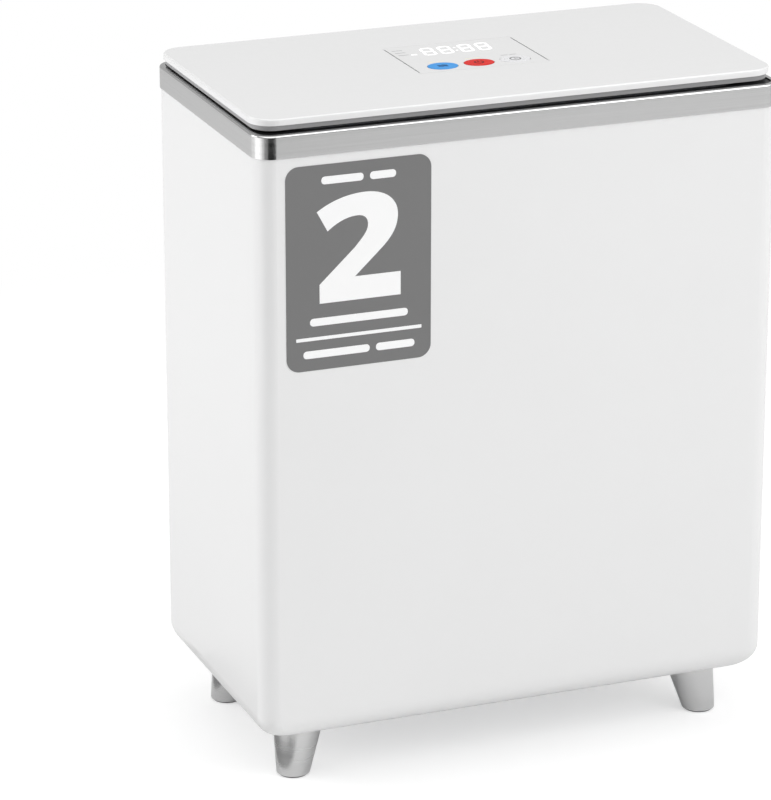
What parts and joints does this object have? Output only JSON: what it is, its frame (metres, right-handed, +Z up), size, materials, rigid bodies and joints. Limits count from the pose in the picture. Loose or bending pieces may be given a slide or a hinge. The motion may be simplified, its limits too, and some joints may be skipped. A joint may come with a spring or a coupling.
{
  "type": "towel warmer bucket",
  "caption": "Free-standing towel warmer: a white rounded box on short tapered metal feet, with a heated bucket inside, a hinged flat lid, push buttons and a display.",
  "frame": {"origin": "on the floor, under the middle of the shell", "axes": "+X to the right-hand side seen from the front, -Y towards the front, +Z up"},
  "size_m": [0.3718, 0.2085, 0.4685],
  "materials": {
    "white_shell": "smooth gloss moulded",
    "white_lid": "smooth gloss moulded",
    "white_control": "smooth gloss overlay",
    "inner_white": "fine matt moulded",
    "grey_plastic": "satin moulded",
    "dark_plastic": "fine matt moulded",
    "base_plastic": "fine matt moulded",
    "brushed_steel": "brushed along its length",
    "satin_steel": "satin turned",
    "bucket_aluminium": "satin anodised",
    "screw_steel": "zinc plated",
    "bright_metal": "bright plated",
    "heater_silicone": "woven glass-backed silicone",
    "insulation": "felted fibre",
    "circuit_board": "solder mask",
    "transformer_core": "taped winding",
    "relay_blue": "moulded case",
    "terminal_green": "moulded case",
    "lead_jacket": "smooth",
    "rubber": "moulded",
    "seal_silicone": "moulded",
    "label_grey": "satin printed film",
    "display": "lit segments behind a white face",
    "scent_felt": "felted fibre",
    "button_blue": "gloss moulded",
    "button_red": "gloss moulded",
    "button_white": "gloss moulded"
  },
  "bodies": {
    "base": {"outer_shell": "white_shell", "steel_rim": "brushed_steel", "rim_collar": "dark_plastic", "inner_bucket": "bucket_aluminium", "heating_mat": "heater_silicone", "base_heater": "heater_silicone", "side_insulation": "insulation", "base_insulation": "insulation", "thermostat": "dark_plastic", "thermal_fuse": "bright_metal", "temperature_sensor": "dark_plastic", "base_plate": "base_plastic", "base_screws": "screw_steel", "power_board": "circuit_board", "board_screws": "screw_steel", "transformer": "transformer_core", "relay": "relay_blue", "capacitor": "dark_plastic", "terminal_block": "terminal_green", "mains_leads": "lead_jacket", "heater_leads": "lead_jacket", "power_inlet": "dark_plastic", "inlet_pins": "bright_metal", "inlet_screws": "screw_steel", "hinge_bracket_left": "grey_plastic", "hinge_bracket_right": "grey_plastic", "hinge_pins": "screw_steel", "hinge_screws": "screw_steel", "collar_screws": "screw_steel", "foot_front_left": "satin_steel", "foot_front_right": "satin_steel", "foot_rear_left": "satin_steel", "foot_rear_right": "satin_steel", "foot_pads": "rubber", "foot_screws": "screw_steel", "foot_washers": "screw_steel", "front_label": "label_grey"},
    "lid": {"lid_panel": "white_lid", "lid_frame": "grey_plastic", "lid_panel_screws": "screw_steel", "lid_seal": "seal_silicone", "lid_inner_cover": "inner_white", "inner_cover_screws": "screw_steel", "lid_insulation": "insulation", "control_panel": "white_control", "button_guide": "dark_plastic", "led_display": "display", "display_board": "circuit_board", "display_board_screws": "screw_steel", "tact_switches": "dark_plastic", "scent_pad": "scent_felt"},
    "blue_button": {"blue_button": "button_blue", "blue_plunger": "dark_plastic"},
    "red_button": {"red_button": "button_red", "red_plunger": "dark_plastic"},
    "white_button": {"white_button": "button_white", "white_plunger": "dark_plastic"},
    "scent_cover": {"scent_cover": "inner_white"}
  },
  "joints": [
    {"name": "lid_hinge", "type": "hinge", "parent": "base", "child": "lid", "pos_m": [0, 0.10033, 0.454], "axis": [-1, 0, 0], "range_deg": [0, 98]},
    {"name": "blue_button_press", "type": "slide", "parent": "lid", "child": "blue_button", "axis": [0, 0, -1], "range_m": [0, 0.0008], "stiffness_N_per_m": 1200, "springref_m": -0.0001},
    {"name": "red_button_press", "type": "slide", "parent": "lid", "child": "red_button", "axis": [0, 0, -1], "range_m": [0, 0.0008], "stiffness_N_per_m": 1200, "springref_m": -0.0001},
    {"name": "white_button_press", "type": "slide", "parent": "lid", "child": "white_button", "axis": [0, 0, -1], "range_m": [0, 0.0008], "stiffness_N_per_m": 1200, "springref_m": -0.0001},
    {"name": "scent_cover_twist", "type": "hinge", "parent": "lid", "child": "scent_cover", "pos_m": [-0.1, 0, 0.4412], "axis": [0, 0, 1], "range_deg": [0, 40]}
  ]
}
